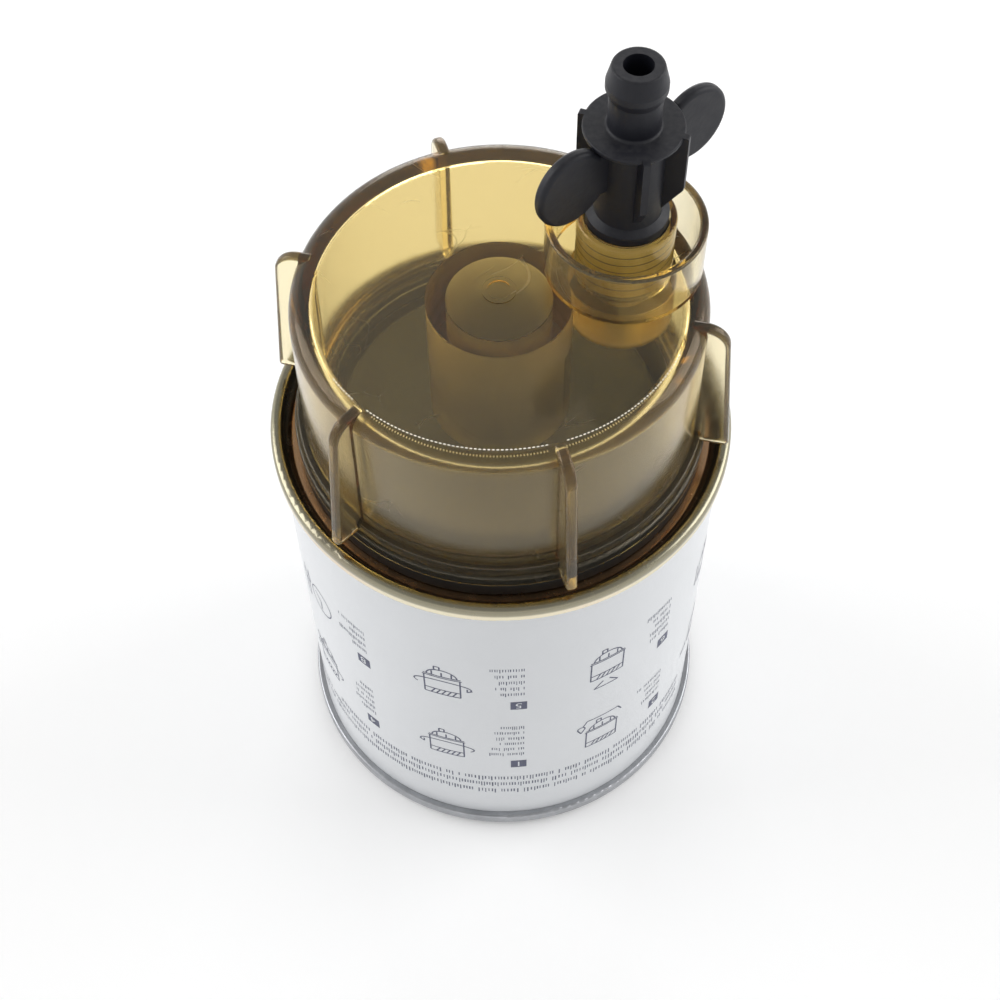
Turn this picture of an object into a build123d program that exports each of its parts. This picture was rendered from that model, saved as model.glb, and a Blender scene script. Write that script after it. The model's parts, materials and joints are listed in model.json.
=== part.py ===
"""Spin-on fuel water separator, standing on its head end with the collection bowl on top.

The can's axis is Z and the floor under the head gasket is Z = 0. Lengths are millimetres.
"""
from build123d import *
from math import cos, radians, sin
import os

# Can and rolled seams
can_radius = 46.45
can_wall = 0.5
can_top = 106.2
seam_overhang = 1.55
seam_height = 3.8
cover_sheet = 0.5
lap_gap = 0.05
crest_thickness = 1.05
crest_slope = 1.2
channel_depth = 3.5
channel_flare = 2.55
crest_outer_round = 1.2
crest_inner_round = 0.9
seam_foot_round = 0.6
channel_round = 0.5

# Head end
gasket_proud = 0.8
gasket_inner = 31.2
gasket_width = 5.4
gasket_gap = 0.1
gasket_edge = 0.5
gasket_wall_height = 2.4
retainer_lip = 1.6
head_plate_thickness = 4.0
plate_edge_gap = 1.2
head_thread_bore = 11.8
head_thread_lead = 0.8
head_collar_wall = 3.2
head_collar_height = 6.0
head_collar_root = 1.0
inlet_count = 8
inlet_circle = 22.0
inlet_radius = 3.5

# Filter element
head_cap_lift = 3.2
grommet_lip = 3.6
grommet_height = 4.0
grommet_edge = 0.6
cap_sheet = 0.6
cap_rim = 4.5
cap_outer_round = 1.0
cap_inner_round = 0.4
element_gap = 5.35
potting_thickness = 3.0
potting_edge_gap = 0.5
potting_bore_gap = 0.3
core_seat = 1.1
core_wall = 0.6
core_hole_radius = 2.4
core_hole_columns = 6
core_hole_rows = 4
paper_thickness = 0.7
pleat_count = 40
pleat_clearance = 0.6
pleat_slit = 0.15
fold_width = 0.9
clip_sheet = 0.4
clip_depth = 7.0
cap_flange = 1.2
drum_side_gap = 2.0
drum_top_gap = 4.1
drum_wall = 1.5
drum_top_round = 1.0
drum_root_round = 0.8

# Threaded ring, spring and bowl seal
ring_plate_thickness = 4.0
ring_collar_wall = 2.2
ring_collar_height = 3.5
ring_collar_root = 0.6
thread_clearance = 0.3
spring_sheet = 0.5
spring_gap = 0.8
spring_edge_gap = 0.15
finger_count = 6
finger_start = 30.0
finger_width = 9.0
finger_drop = 5.8
finger_root = 1.6
finger_leg = 0.8
finger_bend = 0.2
finger_foot = 2.6
seal_thickness = 3.8
seal_width = 3.4
seal_inset = 0.3
seal_edge = 0.5

# Collection bowl
bowl_height = 38.45
bowl_draft = 0.3
bowl_wall = 3.8
end_plate = 4.0
plate_edge_round = 3.5
bowl_inner_round = 1.2
flange_gap = 1.4
flange_height = 3.0
flange_step = 0.8
flange_ledge = 2.3
flange_edge = 0.5
step_height = 2.3
step_edge = 0.35
shoulder_height = 4.2
neck_wall = 3.5
neck_length = 11.3
neck_edge = 0.8
rib_count = 6
rib_start = 106.25
rib_thickness = 2.4
rib_top_reach = 4.1
rib_foot_reach = 7.3
rib_foot_lift = 3.6
rib_proud = 0.3
rib_root_gap = 0.6
rib_corner = 5.0
rib_foot_round = 0.8
rib_edge = 0.9
centre_tube_radius = 14.2
centre_tube_bore = 10.3
centre_tube_depth = 31.5
gate_radius = 3.3
gate_ring = 1.0
gate_height = 0.25

# Drain boss and guard collar
drain_inset = 15.45
drain_angle = 15.6
collar_radius = 15.3
collar_wall = 1.6
collar_height = 12.05
collar_edge = 0.5
tube_wall = 1.3
tube_height = 13.35
tube_edge = 0.4
drain_thread_bore = 8.1
drain_thread_gap = 0.5
thread_runout = 0.8
chamber_bore = 6.8
seat_bore = 5.6
seat_depth = 5.5
nose_gap = 0.2
drain_hole = 3.0
column_radius = 10.5
column_floor = 5.0

# Drain valve
valve_clearance = 0.3
ring_gap = 0.05
skirt_height = 1.6
skirt_cone = 1.0
shank_drop = 13.1
nose_length = 10.3
nose_edge = 0.5
groove_depth = 1.6
groove_width = 2.4
shank_groove_drop = 5.6
nose_groove_lift = 1.3
barrel_radius = 6.4
barrel_length = 20.2
disc_radius = 9.1
disc_thickness = 1.0
disc_edge = 0.35
stem_foot_radius = 4.7
stem_foot_round = 0.6
stem_radius = 4.8
stem_length = 6.9
barb_radius = 5.5
barb_flank = 1.8
barb_land = 1.3
barb_nose_radius = 4.6
barb_nose_length = 3.5
barb_nose_round = 0.5
hose_bore = 2.7
cross_hole = 1.2
cross_hole_drop = 2.4
wing_angle = 35.2
wing_reach = 14.6
wing_width = 14.8
wing_height = 16.1
wing_rise = 0.65
wing_web = 10.0
wing_thickness = 2.4
wing_edge = 0.9
fin_angles = (55.2, 115.2)
fin_reach = 3.7
fin_length = 12.5
fin_foot_slope = 8.0
fin_foot_round = 0.6
fin_thickness = 1.3
grip_root = 1.4

# Radii that follow, from the can inwards
seam_radius = can_radius + seam_overhang
can_inner = can_radius - can_wall
channel_radius = can_radius - channel_flare
element_radius = can_inner - element_gap
flange_radius = channel_radius - flange_gap
step_radius = flange_radius - flange_step
bowl_radius = flange_radius - flange_ledge
neck_radius = flange_radius - seal_inset - seal_width - thread_clearance
neck_bore = neck_radius - neck_wall
ring_thread_bore = neck_radius + thread_clearance
drum_radius = neck_bore - drum_side_gap
rib_top_radius = bowl_radius + rib_top_reach
rib_foot_radius = bowl_radius + rib_foot_reach
collar_outer = head_thread_bore + head_collar_wall
potting_bore = collar_outer + grommet_lip + potting_bore_gap
potting_radius = element_radius - cap_sheet - potting_edge_gap
core_radius = potting_bore + core_seat
pleat_inner = core_radius + pleat_clearance
pleat_outer = element_radius - cap_sheet - pleat_clearance
tube_radius = drain_thread_bore + tube_wall
drain_offset = bowl_radius - drain_inset
drain_x = drain_offset * cos(radians(drain_angle))
drain_y = drain_offset * sin(radians(drain_angle))
drain_axis = (drain_x, drain_y)

# Heights that follow, from the floor up
head_floor = gasket_proud + channel_depth
head_plate_low = head_floor + cover_sheet
head_plate_high = head_plate_low + head_plate_thickness
head_collar_top = head_plate_high + head_collar_height
head_cap_level = head_plate_high + head_cap_lift
pleats_low = head_cap_level + cap_sheet + potting_thickness
bowl_floor = can_top - channel_depth
ring_plate_high = bowl_floor - cover_sheet
ring_plate_low = ring_plate_high - ring_plate_thickness
ring_collar_low = ring_plate_low - ring_collar_height
spring_low = ring_plate_low - spring_sheet
cap_flange_high = spring_low - finger_drop
cap_flange_low = cap_flange_high - cap_flange
pleats_high = cap_flange_low - potting_thickness
flange_low = bowl_floor + seal_thickness
neck_low = flange_low - neck_length
bowl_top = flange_low + bowl_height
ceiling = bowl_top - end_plate
centre_tube_low = ceiling - centre_tube_depth
drum_top = centre_tube_low - drum_top_gap
mouth = bowl_top + tube_height
shank_low = mouth - shank_drop
shank_groove = mouth - shank_groove_drop
nose_low = shank_low - nose_length
nose_groove = nose_low + nose_groove_lift + groove_width / 2
seat_low = nose_low - nose_gap
seat_high = seat_low + seat_depth
thread_low = shank_low - drain_thread_gap
column_low = seat_low - column_floor
skirt_high = mouth + skirt_height
disc_low = skirt_high + barrel_length
disc_high = disc_low + disc_thickness
stem_high = disc_high + stem_length
barb_land_low = stem_high + barb_flank
barb_land_high = barb_land_low + barb_land
barb_tip = barb_land_high + barb_nose_length

# How far a cutting tool runs past the face that it opens
overrun = 1.0


def section(points, rounds=()):
    """Closed outline in the radius and height plane, with the named corners rounded."""
    outline = make_face(Polyline(*points, close=True))
    for corner, radius in rounds:
        vertex = outline.vertices().sort_by_distance((corner[0], corner[1], 0))[0]
        outline = fillet(vertex, radius)
    return outline


def turned(points, rounds=(), axis=(0, 0)):
    """Solid of revolution of an outline about a vertical axis."""
    return Pos(axis[0], axis[1], 0) * revolve(Plane.XZ * section(points, rounds), Axis.Z)


def tube(outer, inner, low, high, axis=(0, 0)):
    """Plain upright tube."""
    return turned([(inner, low), (outer, low), (outer, high), (inner, high)], axis=axis)


def rod(radius, low, high, axis=(0, 0)):
    """Plain upright cylinder."""
    return Pos(axis[0], axis[1], low) * extrude(Circle(radius), high - low)


def around(solid, angles):
    """Copies of a solid turned about the can's axis."""
    return [Rot(0, 0, angle) * solid for angle in angles]


def even_angles(count, start=0.0):
    """Angles of a full circle's even division."""
    return [start + 360.0 * index / count for index in range(count)]


def seam_cover_outline(crest, inward):
    """Outer and inner faces of a cover's rolled rim, from its floor round to its underside.

    crest is the seam's free end, and inward is +1 or -1, the way from there into the can.
    """
    def at(radius, depth):
        return (radius, crest + inward * depth)

    leg = seam_radius - cover_sheet
    hook_outer = leg - 2 * lap_gap - can_wall
    hook_inner = can_radius + lap_gap
    hook_depth = crest_thickness + 2 * lap_gap + can_wall
    wall_inner = can_inner - 2 * lap_gap
    outer_face = [
        at(channel_radius, channel_depth),
        at(wall_inner - cover_sheet, crest_slope),
        at(wall_inner, 0),
        at(seam_radius, 0),
        at(seam_radius, seam_height),
        at(hook_inner, seam_height),
    ]
    inner_face = [
        at(hook_inner, hook_depth),
        at(hook_outer, hook_depth),
        at(hook_outer, seam_height - cover_sheet),
        at(leg, seam_height - cover_sheet),
        at(leg, crest_thickness),
        at(wall_inner, crest_thickness),
        at(wall_inner, crest_slope + cover_sheet),
        at(channel_radius + cover_sheet, channel_depth + cover_sheet),
    ]
    rounds = [
        (at(seam_radius, 0), crest_outer_round),
        (at(wall_inner, 0), crest_inner_round),
        (at(seam_radius, seam_height), seam_foot_round),
        (at(channel_radius, channel_depth), channel_round),
    ]
    return outer_face, inner_face, rounds


def make_can_shell():
    """Painted can: a thin tube whose two ends are flanged and hooked into the seams."""
    hook_outer = seam_radius - cover_sheet - lap_gap
    hook_inner = hook_outer - can_wall
    flange_face = crest_thickness + lap_gap
    flange_back = flange_face + can_wall
    hook_end = seam_height - cover_sheet - lap_gap
    outline = [
        (can_inner, gasket_proud + flange_face),
        (hook_outer, gasket_proud + flange_face),
        (hook_outer, gasket_proud + hook_end),
        (hook_inner, gasket_proud + hook_end),
        (hook_inner, gasket_proud + flange_back),
        (can_radius, gasket_proud + flange_back),
        (can_radius, can_top - flange_back),
        (hook_inner, can_top - flange_back),
        (hook_inner, can_top - hook_end),
        (hook_outer, can_top - hook_end),
        (hook_outer, can_top - flange_face),
        (can_inner, can_top - flange_face),
    ]
    return turned(outline)


def make_head_seam_cover():
    """Galvanised lid: rolled rim, floor against the plate and a folded groove for the gasket."""
    outer_face, inner_face, rounds = seam_cover_outline(gasket_proud, 1)
    groove_outer = gasket_inner + gasket_width + gasket_gap
    groove_inner = gasket_inner - gasket_gap
    wall_end = head_floor - gasket_wall_height
    points = [
        (groove_inner - cover_sheet, head_plate_low),
        (groove_inner - cover_sheet, wall_end),
        (groove_inner, wall_end),
        (groove_inner, head_floor),
        (groove_outer, head_floor),
        (groove_outer, wall_end),
        (groove_outer + retainer_lip, wall_end),
        (groove_outer + retainer_lip, head_floor),
    ]
    return turned(points + outer_face + inner_face, rounds)


def make_head_plate():
    """Thick plate with the threaded collar for the filter head and a circle of inlet holes."""
    plate_edge = channel_radius - plate_edge_gap
    points = [
        (head_thread_bore, head_plate_low),
        (plate_edge, head_plate_low),
        (plate_edge, head_plate_high),
        (collar_outer, head_plate_high),
        (collar_outer, head_collar_top),
        (head_thread_bore, head_collar_top),
    ]
    rounds = [(points[3], head_collar_root), (points[0], head_thread_lead)]
    hole = Pos(inlet_circle, 0, 0) * rod(inlet_radius, head_plate_low - overrun, head_plate_high + overrun)
    return turned(points, rounds) - around(hole, even_angles(inlet_count))


def make_head_gasket():
    """Square gasket in the lid's groove, standing proud of the seam."""
    outer = gasket_inner + gasket_width
    corners = [(gasket_inner, 0), (outer, 0), (outer, head_floor), (gasket_inner, head_floor)]
    return turned(corners, [(corners[0], gasket_edge), (corners[1], gasket_edge)])


def make_element_grommet():
    """Grommet on the head plate's collar, grooved round the edge of the head cap."""
    outer = collar_outer + grommet_lip
    groove = collar_outer + grommet_lip / 2
    low = head_cap_level - (grommet_height - cap_sheet) / 2
    high = low + grommet_height
    points = [
        (collar_outer, low),
        (outer, low),
        (outer, head_cap_level),
        (groove, head_cap_level),
        (groove, head_cap_level + cap_sheet),
        (outer, head_cap_level + cap_sheet),
        (outer, high),
        (collar_outer, high),
    ]
    return turned(points, [(points[1], grommet_edge), (points[6], grommet_edge)])


def make_element_head_cap():
    """Pressed cap: a disc with the outlet hole and a rim round the potted pleats."""
    hole = collar_outer + grommet_lip / 2
    inner = element_radius - cap_sheet
    points = [
        (hole, head_cap_level),
        (element_radius, head_cap_level),
        (element_radius, head_cap_level + cap_rim),
        (inner, head_cap_level + cap_rim),
        (inner, head_cap_level + cap_sheet),
        (hole, head_cap_level + cap_sheet),
    ]
    return turned(points, [(points[1], cap_outer_round), (points[4], cap_inner_round)])


def make_head_potting():
    """Resin ring between the head cap and the ends of the pleats and the core."""
    return tube(potting_radius, potting_bore, head_cap_level + cap_sheet, pleats_low)


def make_bowl_potting():
    """Resin disc between the bowl cap and the ends of the pleats and the core."""
    return rod(potting_radius, pleats_high, cap_flange_low)


def pleat_face(outer, inner, tip, valley):
    """One face of the folded paper: blunt tips and valleys of the given half widths."""
    step = 360.0 / pleat_count
    points = []
    for index in range(pleat_count):
        for radius, turn, half in ((outer, index, tip), (inner, index + 0.5, valley)):
            for side in (-1, 1):
                angle = radians(turn * step) + side * half / radius
                points.append((radius * cos(angle), radius * sin(angle)))
    return Polygon(*points, align=None)


def make_pleated_media():
    """Pleated paper: one folded strip round the core."""
    fold = fold_width * paper_thickness
    outside = pleat_face(pleat_outer, pleat_inner + paper_thickness, fold, pleat_slit)
    inside = pleat_face(pleat_outer - paper_thickness, pleat_inner, pleat_slit, fold)
    return Pos(0, 0, pleats_low) * extrude(outside - inside, pleats_high - pleats_low)


def make_pleat_clip():
    """Folded strip over the pleat in which the two ends of the paper meet."""
    tip = fold_width * paper_thickness
    valley_radius = pleat_inner + paper_thickness
    valley = valley_radius * sin(radians(180.0 / pleat_count)) - pleat_slit
    spread = (valley - tip) / (pleat_outer - valley_radius)
    root = tip + spread * clip_depth
    low = pleat_outer - clip_depth
    high = pleat_outer + clip_sheet
    outside = Polygon((low, 0), (high, 0), (high, tip + clip_sheet), (low, root + clip_sheet), align=None)
    inside = Polygon((low, 0), (pleat_outer, 0), (pleat_outer, tip), (low, root), align=None)
    half_clip = extrude(outside - inside, pleats_high - pleats_low, dir=(0, 0, 1))
    return Pos(0, 0, pleats_low) * (half_clip + mirror(half_clip, Plane.XZ))


def make_element_core():
    """Perforated steel tube inside the pleats, standing on the head end's resin."""
    core = tube(core_radius, core_radius - core_wall, pleats_low, pleats_high)
    rise = (pleats_high - pleats_low) / core_hole_rows
    for row in range(core_hole_rows):
        level = pleats_low + (row + 0.5) * rise
        hole = Pos(core_radius, 0, level) * Rot(0, 90, 0) * Cylinder(core_hole_radius, 4 * core_wall)
        core -= around(hole, even_angles(core_hole_columns, row * 180.0 / core_hole_columns))
    return core


def make_element_bowl_cap():
    """Moulded cap: a flange under the spring and a closed drum that rises into the bowl's neck."""
    points = [
        (0, cap_flange_low),
        (element_radius, cap_flange_low),
        (element_radius, cap_flange_high),
        (drum_radius, cap_flange_high),
        (drum_radius, drum_top),
        (0, drum_top),
    ]
    cap = turned(points, [(points[4], drum_top_round), (points[3], drum_root_round)])
    return cap - rod(drum_radius - drum_wall, cap_flange_low - overrun, drum_top - drum_wall)


def make_element_spring():
    """Stamped ring under the threaded ring, with fingers that press the element's flange."""
    ring_inner = ring_thread_bore + ring_collar_wall + spring_gap
    ring_outer = can_inner - spring_edge_gap
    ring_middle = spring_low + spring_sheet / 2
    root = ring_inner + finger_root
    foot_high = cap_flange_high + spring_sheet
    leg = section(
        [
            (root, ring_middle),
            (element_radius - finger_bend, foot_high),
            (element_radius - finger_foot, foot_high),
            (element_radius - finger_foot, cap_flange_high),
            (element_radius, cap_flange_high),
            (root + finger_leg, ring_middle),
        ]
    )
    finger = extrude(Plane.XZ * leg, finger_width / 2, both=True)
    spring = tube(ring_outer, ring_inner, spring_low, ring_plate_low)
    return spring + around(finger, even_angles(finger_count, finger_start))


def make_bowl_ring_plate():
    """Thick ring under the gold lid, drawn down into a threaded collar for the bowl's neck."""
    collar = ring_thread_bore + ring_collar_wall
    plate_edge = channel_radius + cover_sheet
    points = [
        (ring_thread_bore, ring_collar_low),
        (collar, ring_collar_low),
        (collar, ring_plate_low),
        (plate_edge, ring_plate_low),
        (plate_edge, ring_plate_high),
        (ring_thread_bore, ring_plate_high),
    ]
    return turned(points, [(points[2], ring_collar_root)])


def make_bowl_seam_cover():
    """Yellow-passivated lid: rolled rim and the channel in which the bowl's seal lies."""
    outer_face, inner_face, rounds = seam_cover_outline(can_top, -1)
    floor = [(ring_thread_bore, ring_plate_high), (ring_thread_bore, bowl_floor)]
    return turned(floor + outer_face + inner_face, rounds)


def make_bowl_seal_ring():
    """Square seal between the channel's floor and the bowl's flange."""
    outer = ring_thread_bore + seal_width
    corners = [
        (ring_thread_bore, bowl_floor),
        (outer, bowl_floor),
        (outer, flange_low),
        (ring_thread_bore, flange_low),
    ]
    return turned(corners, [(corners[1], seal_edge), (corners[2], seal_edge)])


def bowl_wall_solid():
    """Turned body of the bowl: end plate, wall, stepped flange, shoulder and neck."""
    wall_foot = bowl_radius + bowl_draft
    bore_top = bowl_radius - bowl_wall
    bore_foot = wall_foot - bowl_wall
    shoulder = flange_low + shoulder_height
    flange_high = flange_low + flange_height
    step_high = flange_high + step_height
    points = [
        (0, bowl_top),
        (bowl_radius, bowl_top),
        (wall_foot, step_high),
        (step_radius, step_high),
        (step_radius, flange_high),
        (flange_radius, flange_high),
        (flange_radius, flange_low),
        (neck_radius, flange_low),
        (neck_radius, neck_low),
        (neck_bore, neck_low),
        (neck_bore, shoulder),
        (bore_foot, shoulder),
        (bore_top, ceiling),
        (0, ceiling),
    ]
    rounds = [
        ((bowl_radius, bowl_top), plate_edge_round),
        ((step_radius, step_high), step_edge),
        ((flange_radius, flange_high), flange_edge),
        ((flange_radius, flange_low), flange_edge),
        ((neck_radius, neck_low), neck_edge),
        ((bore_foot, shoulder), bowl_inner_round),
        ((bore_top, ceiling), bowl_inner_round),
    ]
    return turned(points, rounds)


def bowl_rib():
    """One grip rib, wider towards its foot, that runs up over the edge of the end plate."""
    root = bowl_radius + bowl_draft - bowl_wall + rib_root_gap
    foot = can_top + rib_foot_lift
    top = bowl_top + rib_proud
    outline = section(
        [(root, foot), (rib_foot_radius, foot), (rib_top_radius, top), (root, top)],
        [((rib_top_radius, top), rib_corner), ((rib_foot_radius, foot), rib_foot_round)],
    )
    rib = extrude(Plane.XZ * outline, rib_thickness / 2, both=True)
    outside = [edge for edge in rib.edges().filter_by(Plane.XZ) if edge.center().X > root + rib_edge / 2]
    return fillet(outside, rib_edge)


def make_bowl():
    """Amber bowl: one moulding with ribs, blind centre tube, drain boss and guard collar."""
    bowl = bowl_wall_solid() + around(bowl_rib(), even_angles(rib_count, rib_start))
    plate_middle = bowl_top - end_plate / 2
    bowl += tube(centre_tube_radius, centre_tube_bore, centre_tube_low, plate_middle)
    collar_top = bowl_top + collar_height
    collar_inner = collar_radius - collar_wall
    collar_corners = [
        (collar_inner, ceiling),
        (collar_radius, ceiling),
        (collar_radius, collar_top),
        (collar_inner, collar_top),
    ]
    collar_rounds = [(corner, collar_edge) for corner in collar_corners[2:]]
    bowl += turned(collar_corners, collar_rounds, drain_axis)
    bowl += rod(column_radius, column_low, plate_middle, drain_axis)
    tube_corners = [(0, ceiling), (tube_radius, ceiling), (tube_radius, mouth), (0, mouth)]
    bowl += turned(tube_corners, [(tube_corners[2], tube_edge)], drain_axis)
    bowl -= drain_passage()
    bowl += rod(gate_radius, plate_middle, bowl_top + gate_height)
    return bowl - rod(gate_radius - gate_ring, bowl_top, bowl_top + gate_height + overrun)


def drain_passage():
    """Hollow of the drain boss: threaded bore, chamber, sealing bore and drain hole."""
    points = [
        (0, mouth + overrun),
        (drain_thread_bore, mouth + overrun),
        (drain_thread_bore, thread_low),
        (chamber_bore, thread_low - thread_runout),
        (chamber_bore, seat_high + thread_runout),
        (seat_bore, seat_high),
        (seat_bore, seat_low),
        (drain_hole, seat_low),
        (drain_hole, column_low - overrun),
        (0, column_low - overrun),
    ]
    return turned(points, axis=drain_axis)


def valve_turning():
    """Turned form of the valve from its nose up to the tip of the hose barb."""
    shank = drain_thread_bore - valve_clearance
    nose = seat_bore - valve_clearance
    half = groove_width / 2
    points = [
        (0, nose_low),
        (nose, nose_low),
        (nose, nose_groove - half),
        (nose - groove_depth, nose_groove - half),
        (nose - groove_depth, nose_groove + half),
        (nose, nose_groove + half),
        (nose, shank_low),
        (shank, shank_low),
        (shank, shank_groove - half),
        (shank - groove_depth, shank_groove - half),
        (shank - groove_depth, shank_groove + half),
        (shank, shank_groove + half),
        (shank, skirt_high),
        (barrel_radius, skirt_high + skirt_cone),
        (barrel_radius, disc_low),
        (disc_radius, disc_low),
        (disc_radius, disc_high),
        (stem_foot_radius, disc_high),
        (stem_radius, stem_high),
        (barb_radius, barb_land_low),
        (barb_radius, barb_land_high),
        (barb_nose_radius, barb_tip),
        (0, barb_tip),
    ]
    rounds = [
        ((nose, nose_low), nose_edge),
        ((disc_radius, disc_low), disc_edge),
        ((disc_radius, disc_high), disc_edge),
        ((stem_foot_radius, disc_high), stem_foot_round),
        ((barb_nose_radius, barb_tip), barb_nose_round),
    ]
    return turned(points, rounds, drain_axis)


def valve_wing():
    """One wing: an upright oval leaf in the valve's own radial plane, on a web from the barrel."""
    root = barrel_radius - grip_root
    middle = (barrel_radius + wing_reach - wing_width / 2, disc_high + wing_rise - wing_height / 2)
    leaf = Pos(*middle) * Ellipse(wing_width / 2, wing_height / 2)
    web_length = middle[0] - root
    web = Pos(root + web_length / 2, middle[1]) * Rectangle(web_length, wing_web)
    plate = extrude(Plane.XZ * (leaf + web), wing_thickness / 2, both=True)
    outside = [edge for edge in plate.edges().filter_by(Plane.XZ) if edge.center().X > root + wing_edge]
    return fillet(outside, wing_edge)


def valve_fin():
    """One upright grip fin, level with the disc's top and sloped at its foot."""
    foot = disc_high - fin_length
    root = barrel_radius - grip_root
    tip = barrel_radius + fin_reach
    points = [(root, foot - fin_foot_slope), (tip, foot), (tip, disc_high), (root, disc_high)]
    outline = section(points, [(points[1], fin_foot_round), (points[2], disc_edge)])
    return extrude(Plane.XZ * outline, fin_thickness / 2, both=True)


def make_drain_valve():
    """Black drain valve: hose barb, disc, winged and finned barrel, screwed shank and nose."""
    valve = valve_turning()
    grips = around(valve_wing(), (wing_angle, wing_angle + 180))
    for fin_angle in fin_angles:
        grips += around(valve_fin(), (wing_angle - fin_angle, wing_angle - fin_angle + 180))
    for grip in grips:
        valve += Pos(drain_x, drain_y, 0) * grip
    cross_level = shank_low - cross_hole_drop
    bore_low = cross_level - 2 * cross_hole
    valve -= rod(hose_bore, bore_low, barb_tip + overrun, drain_axis)
    return valve - Pos(drain_x, drain_y, cross_level) * Rot(0, 90, 0) * Cylinder(cross_hole, 2 * seat_bore)


def o_ring(bore, groove_floor, level):
    """Round-section ring that fills its groove and the bore around it, less a small gap."""
    thickness = (bore - groove_floor) / 2 - ring_gap
    return Pos(drain_x, drain_y, level) * Torus((bore + groove_floor) / 2, thickness)


def make_valve_nose_ring():
    """O-ring that shuts the drain."""
    return o_ring(seat_bore, seat_bore - valve_clearance - groove_depth, nose_groove)


def make_valve_shank_ring():
    """O-ring that keeps the drain thread dry."""
    return o_ring(drain_thread_bore, drain_thread_bore - valve_clearance - groove_depth, shank_groove)


pieces = {
    "can_shell": make_can_shell,
    "head_seam_cover": make_head_seam_cover,
    "head_plate": make_head_plate,
    "head_gasket": make_head_gasket,
    "element_grommet": make_element_grommet,
    "element_head_cap": make_element_head_cap,
    "head_potting": make_head_potting,
    "pleated_media": make_pleated_media,
    "pleat_clip": make_pleat_clip,
    "element_core": make_element_core,
    "bowl_potting": make_bowl_potting,
    "element_bowl_cap": make_element_bowl_cap,
    "element_spring": make_element_spring,
    "bowl_ring_plate": make_bowl_ring_plate,
    "bowl_seam_cover": make_bowl_seam_cover,
    "bowl_seal_ring": make_bowl_seal_ring,
    "bowl": make_bowl,
    "drain_valve": make_drain_valve,
    "valve_nose_ring": make_valve_nose_ring,
    "valve_shank_ring": make_valve_shank_ring,
}

os.makedirs("parts", exist_ok=True)
for name, make in pieces.items():
    export_step(make(), f"parts/{name}.step")
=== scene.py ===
"""Finishes, print, threads, light and camera for the fuel water separator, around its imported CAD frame.

Laid out as a Blender add-on and run as a script. Lengths are metres, in the frame's own axes.
"""
import json
from math import cos, pi, radians, sin

import bpy
import numpy as np
from bpy.props import FloatProperty, FloatVectorProperty, IntProperty, PointerProperty
from mathutils import Matrix, Vector


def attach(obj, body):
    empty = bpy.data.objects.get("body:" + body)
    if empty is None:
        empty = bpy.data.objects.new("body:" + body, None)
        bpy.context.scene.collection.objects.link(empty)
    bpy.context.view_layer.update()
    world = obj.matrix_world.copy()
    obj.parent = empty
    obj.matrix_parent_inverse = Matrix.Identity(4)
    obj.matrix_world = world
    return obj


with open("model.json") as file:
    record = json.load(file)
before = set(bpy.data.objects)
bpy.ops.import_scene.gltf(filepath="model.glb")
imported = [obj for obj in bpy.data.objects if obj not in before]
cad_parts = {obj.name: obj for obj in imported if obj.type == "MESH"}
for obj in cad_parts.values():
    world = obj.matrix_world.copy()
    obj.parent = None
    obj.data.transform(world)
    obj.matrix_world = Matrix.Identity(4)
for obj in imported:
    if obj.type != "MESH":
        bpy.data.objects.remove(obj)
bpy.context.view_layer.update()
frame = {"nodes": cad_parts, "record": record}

bl_info = {
    "name": "Fuel Water Separator",
    "version": (1, 0, 0),
    "blender": (4, 5, 0),
    "location": "3D View > Sidebar > Separator",
    "description": "Dresses a spin-on fuel water separator in paint, print, amber plastic and plated steel",
    "category": "Object",
}

MILLIMETRE = 0.001


def mount_place(name):
    """Place of one of the record's mounts."""
    return next(mount["pos_m"] for mount in frame["record"]["mounts"] if mount["name"] == name)


def outside_radius(node, height, angle=-pi / 2):
    """Radius of a node's outer surface at a height, met by a level ray from outside."""
    far = Vector((cos(angle), sin(angle), 0.0))
    hit, place, _, _ = frame["nodes"][node].ray_cast(far + Vector((0, 0, height)), -far)
    if not hit:
        raise RuntimeError(f"{node} has no outer surface at height {height}")
    return Vector((place.x, place.y)).length


DRAIN_X, DRAIN_Y, _ = mount_place("hose_barb")

# Radii and heights where the bowl's finish changes: its plate, its wall, the tubes that hang inside it
PLATE_FLAT = 0.0367
PLATE_BLEND = 0.0012
PLATE_HEIGHT = 0.14495
PLATE_THICKNESS = 0.0040
WALL_INSIDE = 0.0352
TUBE_SIDE = 0.0150
TUBE_TOP = 0.1405
# Top of the painted shade on the tubes that hang inside the bowl
TUBE_SHADE_TOP = 0.131
TUBE_LOW = 0.1094
COLUMN_LOW = 0.1300
DRAIN_SIDE = 0.0125

# Where the gold lid carries a painted dark reflection on its crest, and painted shade with a painted
# reflection of the amber bowl in its channel
SEAM_CREST = 0.1040
SEAM_BLEND = 0.0006
CREST_REFLECTION_SHARE = 0.85
CHANNEL_EDGE = 0.0440
CHANNEL_BLEND = 0.0005

# Print: text and drawings measured from a step square, and the band of small lines round the can, each with
# its height and its share of a turn. A step has from four to six lines of text, below the seven given here.
INK_THICKNESS = 0.00003
TEXT_ABOVE = 0.0042
TEXT_ASIDE = 0.0012
TEXT_LENGTHS = (0.0045, 0.0085)
TEXT_LINES = (4, 7)
DRAWING_ASIDE = 0.0165
DRAWING_ABOVE = 0.0068
BAND_EDGE = 0.052
BAND_HIGH = 0.0022
BAND_LINES = ((0.0183, 0.94), (0.0220, 0.94), (0.0253, 0.34))
PRINT_SEED = 7

# Letters: sizes as shares of their height, and the chances of each gap and of a tall letter
LETTER_HIGH = 0.58
LETTER_PITCH = 0.28
LETTER_LOW = 0.7
STEM_WIDTHS = (0.09, 0.15)
STEM_GAPS = (0.17, 0.25, 0.60)
GAP_CHANCES = (0.5, 0.41, 0.09)
TALL_CHANCE = 0.25
DIGIT_SIZE = 0.95
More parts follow.
